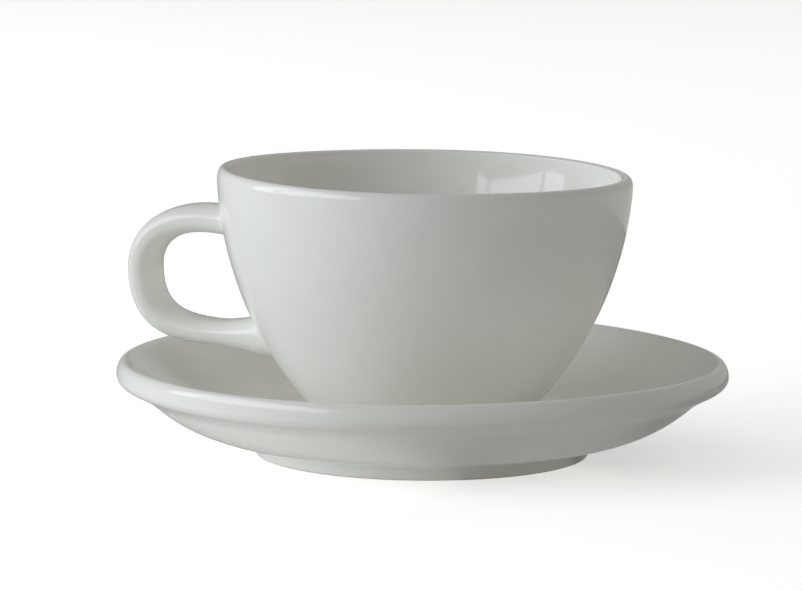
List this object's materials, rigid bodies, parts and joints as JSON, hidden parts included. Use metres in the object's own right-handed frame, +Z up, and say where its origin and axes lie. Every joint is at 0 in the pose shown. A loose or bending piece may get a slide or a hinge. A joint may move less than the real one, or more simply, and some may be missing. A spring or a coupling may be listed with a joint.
{
  "type": "coffee cup",
  "caption": "Wide glazed coffee cup with a strap handle luted to its wall, standing in the shallow well of a dished saucer with a rolled rim.",
  "frame": {"origin": "centre of the saucer's foot ring, on the surface it stands on", "axes": "+Z up along the cup's and the saucer's axis, handle along -X, the object symmetric about the XZ plane"},
  "size_m": [0.1456, 0.145, 0.0672],
  "materials": {
    "saucer_glaze": "gloss off-white glaze, unglazed foot ring",
    "cup_glaze": "gloss off-white glaze, unglazed foot ring",
    "handle_glaze": "gloss off-white glaze"
  },
  "bodies": {
    "saucer": {"saucer": "saucer_glaze"},
    "cup": {"cup_body": "cup_glaze", "handle": "handle_glaze"}
  },
  "joints": [
    {"name": "cup_lift", "type": "slide", "parent": "saucer", "child": "cup", "axis": [0, 0, 1], "range_m": [0, 0.06]}
  ]
}
